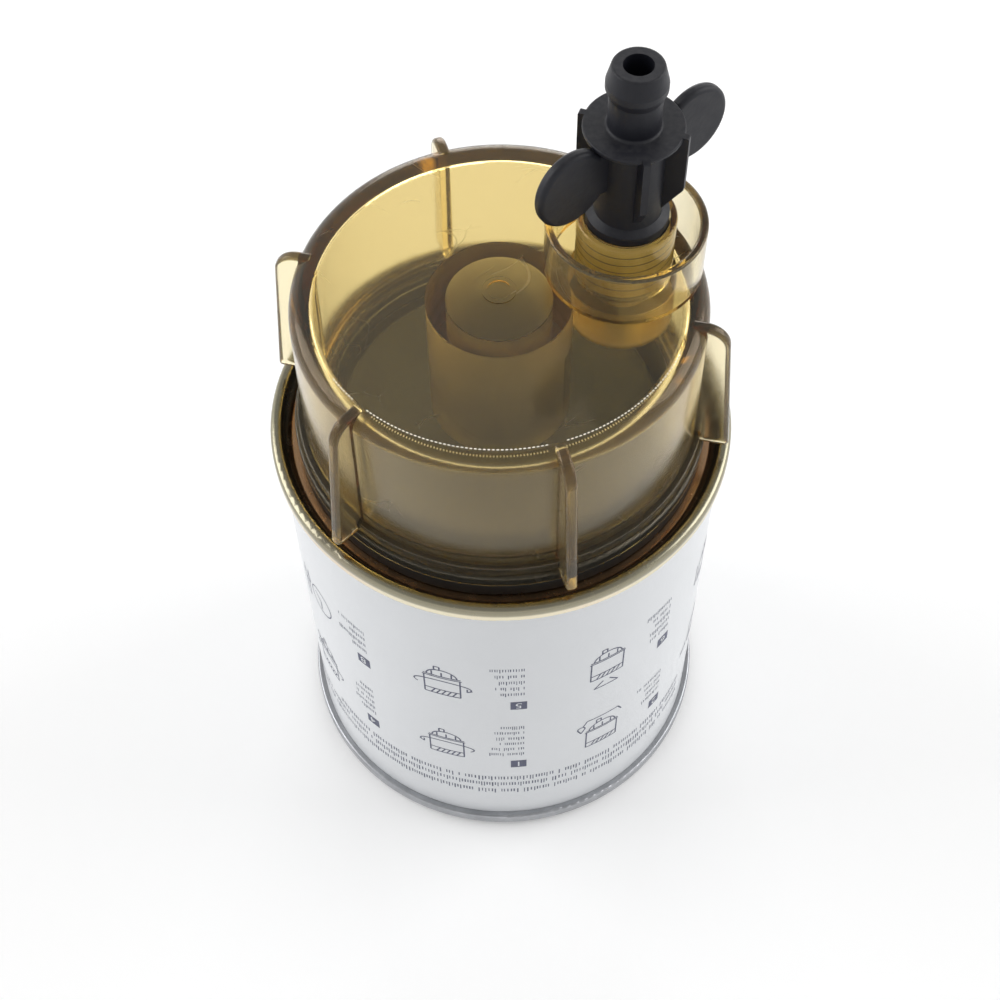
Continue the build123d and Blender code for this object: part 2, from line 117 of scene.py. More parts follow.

# Beads that paint glints on the plate's edge and on the ceiling's corner: half sizes along, across and up,
# and angles in degrees
PLATE_BEAD = (0.00030, 0.00016, 0.00012)
PLATE_BEAD_PITCH = 0.0008
CEILING_BEAD = (0.00016, 0.00013, 0.00013)
CEILING_BEAD_PITCH = 0.0006
CEILING_INSET = 0.0009
BEADS_START = 214.0
BEADS_END = 335.0
RIB_STEP = 60.0
RIB_FIRST = 46.25
RIB_GAP = 2.6

# The drain's thread: the neck's ridge points inwards and the valve's outwards, half a turn apart
THREAD_LOW = 0.1462
THREAD_HIGH = 0.1572
THREAD_PITCH = 0.002
THREAD_STEPS = 72
THREAD_HALF = 0.45
THREAD_FADE = 5
THREAD_FEATHER = 0.03
NECK_ROOT, NECK_TIP = 0.00815, 0.00785
SHANK_ROOT, SHANK_TIP = 0.00775, 0.00805

# Colours of small effects and of the pieces inside
ZINC_GREEN = (0.80, 0.76, 0.55)
ZINC_PINK = (0.82, 0.68, 0.54)
DUST = (0.30, 0.29, 0.27)
NITRILE_BLACK = (0.016, 0.016, 0.017)
RESIN_BROWN = (0.16, 0.10, 0.05)
PAPER_TAN = (0.62, 0.47, 0.24)
TINPLATE = (0.66, 0.65, 0.62)
SPRING_GREY = (0.30, 0.30, 0.32)
WHITE = (1.0, 1.0, 1.0, 1.0)

# Stage
ROOM_LOW, ROOM_HIGH = 0.25, 0.70
FLOOR_HALF = 3.0
LAMP_SIZE = 0.6
LAMP_TARGET = (0.0, 0.0, 0.09)
LEFT_LAMP = (-0.75, 0.15, 0.55)
RIGHT_LAMP = (0.75, 0.15, 0.55)
BACK_LAMP = (0.0, 1.0, 0.34)
SENSOR_WIDTH = 36.0
CLIP_START = 0.01


def colour(name, text, default):
    """A colour setting."""
    return FloatVectorProperty(name=name, description=text, default=default, subtype="COLOR", min=0, max=1)


def length(name, text, default):
    """A length setting, in metres."""
    return FloatProperty(name=name, description=text, default=default, unit="LENGTH", subtype="DISTANCE")


def share(name, text, default):
    """A setting from 0 to 1."""
    return FloatProperty(name=name, description=text, default=default, subtype="FACTOR", min=0, max=1)


def amount(name, text, default, **kind):
    """A plain number, a power or an angle."""
    return FloatProperty(name=name, description=text, default=default, **kind)


class SeparatorPaint(bpy.types.PropertyGroup):
    """Enamel and ink of the can."""

    enamel: colour("Enamel", "White of the painted can", (0.80, 0.82, 0.845))
    roughness: share("Roughness", "Roughness of the enamel", 0.32)
    ink: colour("Ink", "Dark ink of the print", (0.055, 0.065, 0.13))
    columns: IntProperty(name="Columns", description="Columns of steps round the can", default=8)
    first_column: length("First column", "From the can's front to the nearest step square", 0.003)
    upper_row: length("Upper row", "Height of the upper step squares", 0.0623)
    lower_row: length("Lower row", "Height of the lower step squares", 0.0323)
    square: length("Square", "Side of a step square", 0.0036)
    line_pitch: length("Line pitch", "From one printed line to the next", 0.00275)
    stroke: length("Stroke", "Width of a line in the small drawings", 0.00034)


class SeparatorPlating(bpy.types.PropertyGroup):
    """Plated and bare metals."""

    yellow_zinc: colour("Yellow zinc", "Passivated lid under the bowl", (0.83, 0.74, 0.56))
    # Painted dark reflection: the colour that the upward-facing top of the gold seam is darkened to
    crest_dark_reflection: colour("Worn crest", "Dull top of the gold seam", (0.24, 0.225, 0.16))
    # Painted shade and painted reflection of the amber bowl at the bottom of the gold lid's channel
    channel: colour("Channel", "Stained bottom of the gold lid's channel", (0.52, 0.33, 0.19))
    galvanised: colour("Galvanised", "Lid at the head end", (0.42, 0.43, 0.45))
    steel: colour("Steel", "Plates inside", (0.42, 0.42, 0.43))


class SeparatorPlastics(bpy.types.PropertyGroup):
    """Amber bowl, black valve and dark element cap."""

    amber: colour("Amber", "What a thickness of the bowl lets through", (0.962, 0.755, 0.05))
    amber_gloss: colour("Amber gloss", "Warmth of what the bowl reflects", (1.0, 0.84, 0.60))
    amber_density: amount("Amber density", "Absorption of the amber plastic for each metre", 102.0)
    amber_index: amount("Amber index", "Refractive index of the bowl", 1.50)
    plate_roughness: share("Plate roughness", "Roughness of the bowl's flat end plate", 0.05)
    skin_roughness: share("Skin roughness", "Roughness of the bowl's rim, wall and ribs", 0.16)
    clearness: share("Clearness", "Share of light that the bowl's skin lets in", 0.965)
    core_roughness: share("Core roughness", "Roughness of the tubes that hang inside the bowl", 0.42)
    # Painted shade: the dark colour that the tubes inside the bowl turn to at their feet
    core_shade: colour("Core tint", "Haze at the foot of the tubes inside the bowl", (0.17, 0.175, 0.135))
    plate_tint: colour("Plate tint", "Haze of the end plate", (0.98, 0.95, 0.83))
    skin_tint: colour("Skin tint", "Haze of the rim, wall and ribs", (0.99, 0.94, 0.78))
    # Painted glints: the light colour of the beads that stand in for highlights along the end plate's edge
    painted_glint: colour("Beads", "Frosted beads round the end plate", (0.93, 0.90, 0.78))
    thread: colour("Thread", "Thread in the drain's neck, lit through the amber", (0.62, 0.46, 0.13))
    charcoal: colour("Charcoal", "Drain valve", (0.0075, 0.008, 0.013))
    element_dark: colour("Element cap", "Dark moulded cap under the bowl", (0.045, 0.044, 0.028))


class SeparatorStage(bpy.types.PropertyGroup):
    """Floor, light and camera."""

    floor: colour("Floor", "Pale floor", (0.86, 0.86, 0.86))
    floor_glow: amount("Floor glow", "Light that the floor adds for the camera", 0.17)
    world: amount("World", "Strength of the even light", 0.58)
    overhead: share("Overhead", "How bright gloss sees the room straight above", 0.40)
    side_lamps: amount("Side lamps", "Power of each side lamp", 3.3, unit="POWER")
    back_lamp: amount("Back lamp", "Power of the lamp behind", 3.0, unit="POWER")
    camera_distance: length("Camera distance", "From the camera to the point it looks at", 0.383014)
    camera_pitch: amount("Camera pitch", "How far the camera looks down", 0.9941, subtype="ANGLE")
    camera_roll: amount("Camera roll", "Turn about the line of sight", -0.0147, subtype="ANGLE")
    camera_target: FloatVectorProperty(
        name="Camera target",
        description="Point in the middle of the picture",
        default=(-0.000405, 0.0, 0.072253),
        subtype="XYZ",
        unit="LENGTH",
    )
    camera_lens: amount("Lens", "Focal length, millimetres", 61.2817)


# Nodes


def put(tree, kind, inputs=None, **settings):
    """A node with its sockets fed by values or by other nodes' outputs."""
    made = tree.nodes.new(kind)
    for key, value in settings.items():
        setattr(made, key, value)
    for key, value in (inputs or {}).items():
        feed(tree, made.inputs[key], value)
    return made


def feed(tree, socket, value):
    """Links an output to a socket, or sets the socket's own value."""
    if isinstance(value, bpy.types.NodeSocket):
        tree.links.new(value, socket)
    else:
        socket.default_value = value


def maths(tree, operation, *values, clamp=False):
    """Output of a Math node."""
    made = tree.nodes.new("ShaderNodeMath")
    made.operation = operation
    made.use_clamp = clamp
    for socket, value in zip(made.inputs, values):
        feed(tree, socket, value)
    return made.outputs[0]


def remap(tree, value, from_low, from_high, to_low, to_high):
    """Output of a clamped Map Range node."""
    sockets = {
        "Value": value,
        "From Min": from_low,
        "From Max": from_high,
        "To Min": to_low,
        "To Max": to_high,
    }
    return put(tree, "ShaderNodeMapRange", sockets).outputs["Result"]


def noise_value(tree, vector, scale, **sockets):
    """Output of a Noise Texture node, at a scale for each metre."""
    return put(tree, "ShaderNodeTexNoise", {"Vector": vector, "Scale": scale, **sockets}).outputs["Fac"]


def blend(tree, factor, first, second):
    """Colour output of a Mix node: the first colour at factor 0, the second at 1."""
    mix = put(tree, "ShaderNodeMix", {"Factor": factor}, data_type="RGBA")
    colours = [socket for socket in mix.inputs if socket.type == "RGBA"]
    feed(tree, colours[0], first)
    feed(tree, colours[1], second)
    return next(socket for socket in mix.outputs if socket.type == "RGBA")


def axis_distance(tree, place):
    """Distance of a place from the can's axis."""
    level = put(tree, "ShaderNodeVectorMath", {0: place, 1: (1.0, 1.0, 0.0)}, operation="MULTIPLY")
    reach = put(tree, "ShaderNodeVectorMath", {0: level.outputs["Vector"]}, operation="LENGTH")
    return reach.outputs["Value"]


def new_group(name, inputs, outputs):
    """Empty node group, with its input sockets and its output sockets."""
    group = bpy.data.node_groups.new(name, "ShaderNodeTree")
    for label, kind, default in inputs:
        socket = group.interface.new_socket(name=label, in_out="INPUT", socket_type=kind)
        if default is not None:
            socket.default_value = default
    for label, kind in outputs:
        group.interface.new_socket(name=label, in_out="OUTPUT", socket_type=kind)
    entry = group.nodes.new("NodeGroupInput").outputs
    leave = group.nodes.new("NodeGroupOutput").inputs
    return group, entry, leave


FLOAT = "NodeSocketFloat"
COLOUR = "NodeSocketColor"
VECTOR = "NodeSocketVector"


def tone_group():
    """Mottled tone: the colour times 1 plus or minus a share, after soft noise."""
    group, entry, leave = new_group(
        "Mottled tone",
        [("Vector", VECTOR, None), ("Colour", COLOUR, None), ("Scale", FLOAT, 60.0), ("Spread", FLOAT, 0.05)],
        [("Colour", COLOUR), ("Value", FLOAT)],
    )
    noise = noise_value(group, entry["Vector"], entry["Scale"], Detail=4.0, Roughness=0.6)
    low = maths(group, "SUBTRACT", 1.0, entry["Spread"])
    high = maths(group, "ADD", 1.0, entry["Spread"])
    factor = remap(group, noise, 0.3, 0.7, low, high)
    scaled = put(group, "ShaderNodeVectorMath", {0: entry["Colour"], "Scale": factor}, operation="SCALE")
    feed(group, leave["Colour"], scaled.outputs["Vector"])
    feed(group, leave["Value"], noise)
    return group


def scuff_group():
    """Scuffs: thin lines where warped cells meet, broken up by soft noise."""
    group, entry, leave = new_group(
        "Scuffs",
        [("Vector", VECTOR, None), ("Scale", FLOAT, 90.0), ("Width", FLOAT, 0.02), ("Share", FLOAT, 0.4)],
        [("Mask", FLOAT)],
    )
    warp = put(group, "ShaderNodeTexNoise", {"Vector": entry["Vector"], "Scale": 25.0, "Detail": 2.0})
    bent = put(group, "ShaderNodeVectorMath", {0: warp.outputs["Color"], "Scale": 0.05}, operation="SCALE")
    sockets = {0: entry["Vector"], 1: bent.outputs["Vector"]}
    place = put(group, "ShaderNodeVectorMath", sockets, operation="ADD")
    sockets = {"Vector": place.outputs["Vector"], "Scale": entry["Scale"]}
    cells = put(group, "ShaderNodeTexVoronoi", sockets, feature="DISTANCE_TO_EDGE")
    line = remap(group, cells.outputs["Distance"], 0.0, entry["Width"], 1.0, 0.0)
    patch = noise_value(group, entry["Vector"], entry["Scale"], Detail=1.0)
    threshold = maths(group, "SUBTRACT", 1.0, entry["Share"])
    chosen = remap(group, patch, threshold, maths(group, "ADD", threshold, 0.1), 0.0, 1.0)
    feed(group, leave["Mask"], maths(group, "MULTIPLY", line, chosen))
    return group


def dust_group():
    """Dust: a mask that grows with the upward slope of the surface and breaks up with fine noise."""
    group, entry, leave = new_group(
        "Dust",
        [("Vector", VECTOR, None), ("Amount", FLOAT, 0.3), ("Scale", FLOAT, 900.0)],
        [("Mask", FLOAT)],
    )
    normal = put(group, "ShaderNodeNewGeometry").outputs["Normal"]
    slope = put(group, "ShaderNodeSeparateXYZ", {0: normal}).outputs["Z"]
    up = remap(group, slope, 0.2, 1.0, 0.0, 1.0)
    noise = noise_value(group, entry["Vector"], entry["Scale"], Detail=3.0)
    speckle = remap(group, noise, 0.35, 0.75, 0.2, 1.0)
    settled = maths(group, "MULTIPLY", up, speckle)
    feed(group, leave["Mask"], maths(group, "MULTIPLY", settled, entry["Amount"]))
    return group


class Finish:
    """One material: a Principled shader, its object coordinates and the groups placed in it."""

    groups = {}

    def __init__(self, name, **constants):
        self.material = bpy.data.materials.new(name)
        self.material.use_nodes = True
        self.tree = self.material.node_tree
        self.tree.nodes.clear()
        self.output = put(self.tree, "ShaderNodeOutputMaterial")
        self.shader = put(self.tree, "ShaderNodeBsdfPrincipled")
        self.tree.links.new(self.shader.outputs["BSDF"], self.output.inputs["Surface"])
        self.place = put(self.tree, "ShaderNodeTexCoord").outputs["Object"]
        for label, value in constants.items():
            self.shader.inputs[label.replace("_", " ")].default_value = value

    def group(self, make, **inputs):
        """Places a shared group, made once, with its own values."""
        if make.__name__ not in self.groups:
            self.groups[make.__name__] = make()
        placed = put(self.tree, "ShaderNodeGroup", node_tree=self.groups[make.__name__])
        feed(self.tree, placed.inputs["Vector"], self.place)
        for label, value in inputs.items():
            feed(self.tree, placed.inputs[label], value)
        return placed.outputs

    def noise(self, scale, detail=3.0):
        """Noise value at a scale for each metre."""
        return noise_value(self.tree, self.place, scale, Detail=detail)

    def tone(self, base, scale, spread):
        """Base colour, mottled."""
        outputs = self.group(tone_group, Colour=(*base, 1.0), Scale=scale, Spread=spread)
        feed(self.tree, self.shader.inputs["Base Color"], outputs["Colour"])
        return outputs

    def roughness(self, value, low, high):
        """Roughness from low to high as a value goes from 0 to 1."""
        feed(self.tree, self.shader.inputs["Roughness"], remap(self.tree, value, 0.0, 1.0, low, high))

    def bump(self, height, distance, strength=1.0):
        """Normal from a height."""
        sockets = {"Height": height, "Distance": distance, "Strength": strength}
        normal = put(self.tree, "ShaderNodeBump", sockets).outputs["Normal"]
        feed(self.tree, self.shader.inputs["Normal"], normal)

    def lighten(self, mask, tint):
        """Blends the base colour towards a tint by a mask."""
        base = self.shader.inputs["Base Color"]
        feed(self.tree, base, blend(self.tree, mask, base.links[0].from_socket, (*tint, 1.0)))


def enamel_finish(paint):
    """White enamel over tinplate: slight orange peel and faint handling marks."""
    finish = Finish("white_enamel", Coat_Weight=0.25, Coat_Roughness=0.08)
    tone = finish.tone(paint.enamel, scale=45.0, spread=0.015)
    finish.roughness(tone["Value"], low=paint.roughness - 0.05, high=paint.roughness + 0.08)
    finish.bump(finish.noise(scale=700.0, detail=2.0), distance=0.00004)
    return finish.material


def yellow_zinc_finish(plating):
    """Yellow passivated steel: straw gold drifting to pink and green, a painted dark reflection on the crest,
    and painted shade with a painted amber reflection in the channel.
    """
    finish = Finish("yellow_zinc", Metallic=1.0)
    tree = finish.tree
    ramp = put(tree, "ShaderNodeValToRGB", {"Fac": finish.noise(scale=55.0, detail=2.0)})
    elements = ramp.color_ramp.elements
    elements[0].position, elements[0].color = 0.30, (*ZINC_GREEN, 1.0)
    elements[1].position, elements[1].color = 0.72, (*ZINC_PINK, 1.0)
    elements.new(0.5).color = (*plating.yellow_zinc, 1.0)
    feed(tree, finish.shader.inputs["Base Color"], ramp.outputs["Color"])
    height = put(tree, "ShaderNodeSeparateXYZ", {0: finish.place}).outputs["Z"]
    # Painted dark reflection on the crest, which faces up
    crest = remap(tree, height, SEAM_CREST, SEAM_CREST + SEAM_BLEND, 0.0, CREST_REFLECTION_SHARE)
    finish.lighten(crest, plating.crest_dark_reflection)
    radius = axis_distance(tree, finish.place)
    # Painted shade and painted amber reflection in the channel under the bowl's foot
    channel = remap(tree, radius, CHANNEL_EDGE, CHANNEL_EDGE + CHANNEL_BLEND, 1.0, 0.0)
    finish.lighten(channel, plating.channel)
    finish.roughness(finish.noise(scale=300.0, detail=4.0), low=0.16, high=0.34)
    finish.bump(finish.noise(scale=1400.0, detail=2.0), distance=0.00002)
    return finish.material


def galvanised_finish(plating):
    """Galvanised sheet with a fine spangle."""
    finish = Finish("galvanised_sheet", Metallic=1.0)
    finish.tone(plating.galvanised, scale=220.0, spread=0.12)
    finish.roughness(finish.noise(scale=260.0, detail=4.0), low=0.22, high=0.5)
    finish.bump(finish.noise(scale=1100.0, detail=2.0), distance=0.00003)
    return finish.material


def steel_finish(name, base, low, high):
    """Plain rolled or turned steel."""
    finish = Finish(name, Metallic=1.0)
    finish.tone(base, scale=180.0, spread=0.08)
    finish.roughness(finish.noise(scale=350.0), low, high)
    finish.bump(finish.noise(scale=1600.0, detail=2.0), distance=0.00002)
    return finish.material


def amber_finish(plastics):
    """Amber moulding that absorbs light by its thickness.

    The end plate is clear with a few scuffs, the rim, wall and ribs are hazy, and the tubes that hang inside
    are rough and carry painted shade that darkens them towards their feet.
    """
    finish = Finish("amber_plastic", Transmission_Weight=plastics.clearness, IOR=plastics.amber_index)
    tree = finish.tree
    finish.shader.inputs["Specular Tint"].default_value = (*plastics.amber_gloss, 1.0)
    radius = axis_distance(tree, finish.place)
    skin = remap(tree, radius, PLATE_FLAT, PLATE_FLAT + PLATE_BLEND, 0.0, 1.0)
    haze = blend(tree, skin, (*plastics.plate_tint, 1.0), (*plastics.skin_tint, 1.0))
    place = put(tree, "ShaderNodeSeparateXYZ", {0: finish.place}).outputs
    beside_drain = maths(tree, "GREATER_THAN", place["X"], DRAIN_SIDE)
    side = remap(tree, beside_drain, 0.0, 1.0, TUBE_SIDE, WALL_INSIDE)
    foot = remap(tree, beside_drain, 0.0, 1.0, TUBE_LOW, COLUMN_LOW)
    low = maths(tree, "LESS_THAN", place["Z"], TUBE_TOP)
    hanging = maths(tree, "MULTIPLY", low, maths(tree, "LESS_THAN", radius, side))
    # Painted shade: the colour darkens towards the core shade from the top of the shade down to each tube's
    # foot
    depth = remap(tree, place["Z"], foot, TUBE_SHADE_TOP, 1.0, 0.0)
    foot_shade = maths(tree, "MULTIPLY", hanging, depth)
    feed(tree, finish.shader.inputs["Base Color"], blend(tree, foot_shade, haze, (*plastics.core_shade, 1.0)))
    scuffs = finish.group(scuff_group, Scale=60.0, Width=0.014, Share=0.45)["Mask"]
    marked = maths(tree, "MULTIPLY", scuffs, maths(tree, "SUBTRACT", 1.0, skin))
    smooth = remap(tree, skin, 0.0, 1.0, plastics.plate_roughness, plastics.skin_roughness)
    base = maths(tree, "MAXIMUM", smooth, maths(tree, "MULTIPLY", hanging, plastics.core_roughness))
    worn = maths(tree, "MULTIPLY_ADD", marked, 0.45, base)
    mottle = remap(tree, finish.noise(scale=160.0), 0.3, 0.7, 0.8, 1.25)
    feed(tree, finish.shader.inputs["Roughness"], maths(tree, "MULTIPLY", worn, mottle))
    finish.bump(finish.noise(scale=60.0, detail=1.0), distance=0.00003)
    sockets = {"Color": (*plastics.amber, 1.0), "Density": plastics.amber_density}
    absorb = put(tree, "ShaderNodeVolumeAbsorption", sockets)
    tree.links.new(absorb.outputs["Volume"], finish.output.inputs["Volume"])
    return finish.material


def plastic_finish(name, base, low, high, gloss=0.5):
    """Moulded plastic with a fine grain and dust on what faces up."""
    finish = Finish(name, Specular_IOR_Level=gloss)
    finish.tone(base, scale=120.0, spread=0.10)
    dust = finish.group(dust_group, Amount=0.06)
    finish.lighten(dust["Mask"], DUST)
    finish.roughness(finish.noise(scale=400.0), low, high)
    finish.bump(finish.noise(scale=900.0), distance=0.00003)
    return finish.material


def rubber_finish():
    """Black nitrile rubber with a bloom of talc."""
    finish = Finish("nitrile_rubber", Specular_IOR_Level=0.4)
    finish.tone(NITRILE_BLACK, scale=200.0, spread=0.2)
    finish.roughness(finish.noise(scale=500.0), low=0.5, high=0.75)
    finish.bump(finish.noise(scale=1300.0), distance=0.00003)
    return finish.material


def resin_finish():
    """Cured potting resin, cloudy and brown."""
    finish = Finish("potting_resin", Coat_Weight=0.3)
    finish.tone(RESIN_BROWN, scale=90.0, spread=0.2)
    finish.roughness(finish.noise(scale=200.0), low=0.2, high=0.45)
    finish.bump(finish.noise(scale=150.0, detail=2.0), distance=0.0001)
    return finish.material


def paper_finish():
    """Resin-treated filter paper with fibres."""
    finish = Finish("filter_paper", Specular_IOR_Level=0.2)
    finish.tone(PAPER_TAN, scale=700.0, spread=0.12)
    finish.roughness(finish.noise(scale=800.0), low=0.75, high=0.95)
    finish.bump(finish.noise(scale=2500.0, detail=4.0), distance=0.00006)
    return finish.material


def glint_finish(tint):
    """Painted glints: light beads that stand in for highlights."""
    finish = Finish("painted_glint_bead")
    finish.tone(tint, scale=900.0, spread=0.06)
    finish.roughness(finish.noise(scale=1500.0, detail=2.0), low=0.15, high=0.45)
    return finish.material


def ink_finish(name, ink):
    """Printed ink, a little worn and uneven."""
    finish = Finish(name)
    finish.tone(ink, scale=500.0, spread=0.15)
    finish.roughness(finish.noise(scale=600.0), low=0.3, high=0.5)
    return finish.material


# Surfaces


def make_piece(name, points, faces, body, material):
    """Object from an array of points and a list of face arrays, riding on a body."""
    mesh = bpy.data.meshes.new(name)
    mesh.from_pydata(points.reshape(-1, 3).tolist(), [], [face for group in faces for face in group.tolist()])
    mesh.update()
    mesh.materials.append(material)
    piece = bpy.data.objects.new(name, mesh)
    bpy.context.scene.collection.objects.link(piece)
    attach(piece, body)


def wrap(flat, radius):
    """Lays (s, z) points on a cylinder: x = radius sin(s / radius), y = -radius cos(s / radius)."""
    turn = flat[..., 0] / radius
    return np.stack([radius * np.sin(turn), -radius * np.cos(turn), flat[..., 1]], axis=-1)


def strip_faces(strips, rows, columns):
    """Quads of a stack of equal grids, each of rows by columns points numbered row by row."""
    first = np.arange(strips)[:, None, None] * rows * columns
    corner = first + np.arange(rows - 1)[None, :, None] * columns + np.arange(columns - 1)[None, None, :]
    return np.stack([corner, corner + 1, corner + columns + 1, corner + columns], axis=-1).reshape(-1, 4)


class Print:
    """Flat print gathered as grids of (s, z) points, then laid on the paint as one mesh."""

    def __init__(self):
        self.points = []
        self.faces = []
        self.count = 0

    def add(self, grids):
        """Adds a stack of grids shaped (strips, rows, columns, 2)."""
        strips, rows, columns, _ = grids.shape
        self.faces.append(strip_faces(strips, rows, columns) + self.count)
        self.points.append(grids.reshape(-1, 2))
        self.count += strips * rows * columns

    def blocks(self, boxes):
        """Adds rectangles given as rows of s low, s high, z low, z high, each in three parts along s."""
        along = boxes[:, 0, None] + (boxes[:, 1] - boxes[:, 0])[:, None] * np.linspace(0, 1, 4)
        grid = np.empty((len(boxes), 2, 4, 2))
        grid[..., 0] = along[:, None, :]
        grid[..., 1] = boxes[:, 2:, None]
        self.add(grid)

    def stroke(self, path, width, centre):
        """Adds a ribbon along a path, upside down about a centre: each point plus or minus half a width."""
        path = np.asarray(centre) - np.asarray(path)
        tangent = np.gradient(path, axis=0)
        tangent /= np.linalg.norm(tangent, axis=1)[:, None]
        side = np.stack([-tangent[:, 1], tangent[:, 0]], axis=1) * width / 2
        self.add(np.stack([path - side, path + side])[None])

    def finish(self, name, radius, material):
        """Lays the print on the can at a radius."""
        points = wrap(np.concatenate(self.points), radius)
        make_piece(name, points, self.faces, "can", material)


def words(rng, high, length_limit):
    """Upright ticks like the stems of letters: random widths and gaps, added up along the line."""
    count = int(length_limit / (LETTER_PITCH * high))
    widths = rng.uniform(*STEM_WIDTHS, count) * high
    gaps = rng.choice(STEM_GAPS, count, p=GAP_CHANCES) * high
    ends = np.cumsum(widths + gaps) - gaps
    keep = ends < length_limit
    tops = np.where(rng.random(count) < TALL_CHANCE, 1.0, LETTER_LOW) * high
    return (ends - widths)[keep], ends[keep], tops[keep]


def text_line(rng, edge, height, high, length_limit):
    """One printed line, upside down: it runs towards lower s from its edge and hangs from its height."""
    low, far, tops = words(rng, high, length_limit)
    return np.stack([edge - far, edge - low, height - tops, np.full_like(tops, height)], axis=1)


def segment(x0, y0, x1, y1):
    """Straight path in six points, millimetres."""
    part = np.linspace(0, 1, 6)[:, None]
    return (np.array([[x0, y0]]) * (1 - part) + np.array([[x1, y1]]) * part) * MILLIMETRE


def arc(x, y, wide, high, start, end):
    """Elliptic path from a start to an end angle in degrees, millimetres."""
    angles = np.radians(np.linspace(start, end, 25))
    return np.stack([x + wide * np.cos(angles), y + high * np.sin(angles)], axis=1) * MILLIMETRE


def outline(x, y, wide, high):
    """The four sides of a rectangle about a centre."""
    left, right, low, top = x - wide / 2, x + wide / 2, y - high / 2, y + high / 2
    return [
        segment(left, low, right, low),
        segment(right, low, right, top),
        segment(right, top, left, top),
        segment(left, top, left, low),
    ]


def arrow(x, y, direction, size=1.3):
    """Two short barbs that meet at a point, opening against a direction in degrees."""
    turns = [radians(direction + lean) for lean in (150, 210)]
    return [segment(x + size * cos(turn), y + size * sin(turn), x, y) for turn in turns]


def drop(x, y, size):
    """A hanging drop: a round foot and two sides that meet above it."""
    foot = arc(x, y, size, size, -205, 25)
    sides = [segment(x + side * size * 0.9, y + size * 0.42, x, y + size * 2.3) for side in (-1, 1)]
    return [foot, *sides]


def small_can(x, y):
    """A can with a hatched band and a seam, and a ribbed bowl below."""
    hatching = [segment(x - 4 + step, y + 2.6, x - 3 + step, y + 4.6) for step in (0.8, 2.0, 3.2, 4.4, 5.6)]
    ribs = [segment(x + step, y - 3.6, x + step, y - 5.4) for step in (-2.2, 0, 2.2)]
    band = segment(x - 4, y + 2.6, x + 4, y + 2.6)
    seam = [segment(x - 4.4, y - 3, x + 4.4, y - 3), segment(x - 4.2, y - 3.6, x + 4.2, y - 3.6)]
    bowl = arc(x, y - 3.6, 3.4, 2.8, 180, 360)
    drain = outline(x + 1, y - 7, 1.2, 1.4)
    return [*outline(x, y + 0.8, 8, 7.6), band, *hatching, *seam, *ribs, bowl, *drain]


def drawings():
    """Eight small line drawings of plain workshop steps, none over 15 by 17 millimetres."""
    turn_left = [arc(0, 0.4, 6.4, 2.0, 150, 390), *arrow(5.5, 1.4, 120)]
    turn_right = [arc(0, 0.4, 6.4, 2.0, 150, 390), *arrow(-5.5, 1.4, 60)]
    tray = [segment(-5, -5, -4, -7), segment(-4, -7, 4, -7), segment(4, -7, 5, -5)]
    dial = [arc(-2, 0, 4.2, 4.2, 0, 360), segment(-2, 0, -2, 3), segment(-2, 0, 0.4, -1.4)]
    funnel = [segment(-3, 8, -0.8, 5.6), segment(3, 8, 0.8, 5.6), segment(-3, 8, 3, 8)]
    band = [arc(0, 2.2, 5.4, 1.5, 150, 390), segment(4.6, 2.8, 8, 4.4), segment(4.6, 1.8, 8, 3.2)]
    bristles = [segment(3.8, -2.6, 3.8, -5), segment(6.2, -2.6, 6.2, -5)]
    brush = [*outline(5, 3, 1.6, 6), *outline(5, -1.4, 3.2, 2.2), *bristles]
    lift = [segment(5.6, -4, 5.6, 4), *arrow(5.6, 4, 90), segment(-5.6, -4, -5.6, 4), *arrow(-5.6, 4, 90)]
    return [
        small_can(0, 0) + turn_left,
        small_can(0, 2) + drop(5.4, -4, 0.9) + tray,
        small_can(-1, 0) + band,
        dial + brush,
        small_can(0, 0) + turn_right,
        small_can(0, -1) + funnel,
        small_can(0, 0) + lift,
        small_can(0, 0) + drop(5.2, -4, 0.8) + turn_left,
    ]


def step_places(paint, radius):
    """Column, row, distance along the paint and height of each step square."""
    pitch = 2 * pi * radius / paint.columns
    for column in range(paint.columns):
        for row, height in enumerate((paint.lower_row, paint.upper_row)):
            yield column, row, paint.first_column + column * pitch, height


def print_steps(paint, radius):
    """Dark squares, rows of ticks, drawings and the band of small lines, in one sheet of ink."""
    sheet = Print()
    rng = np.random.default_rng(PRINT_SEED)
    half = paint.square / 2
    high = LETTER_HIGH * paint.line_pitch
    pictures = drawings()
    for column, row, middle, height in step_places(paint, radius):
        sheet.blocks(np.array([[middle - half, middle + half, height - half, height + half]]))
        for line in range(rng.integers(*TEXT_LINES)):
            top = height + half + TEXT_ABOVE + line * paint.line_pitch
            sheet.blocks(text_line(rng, middle + TEXT_ASIDE, top, high, rng.uniform(*TEXT_LENGTHS)))
        for path in pictures[(column + 4 * row) % len(pictures)]:
            sheet.stroke(path, paint.stroke, (middle - DRAWING_ASIDE, height + DRAWING_ABOVE))
    for height, share_round in BAND_LINES:
        sheet.blocks(text_line(rng, BAND_EDGE, height, BAND_HIGH, share_round * 2 * pi * radius))
    return sheet


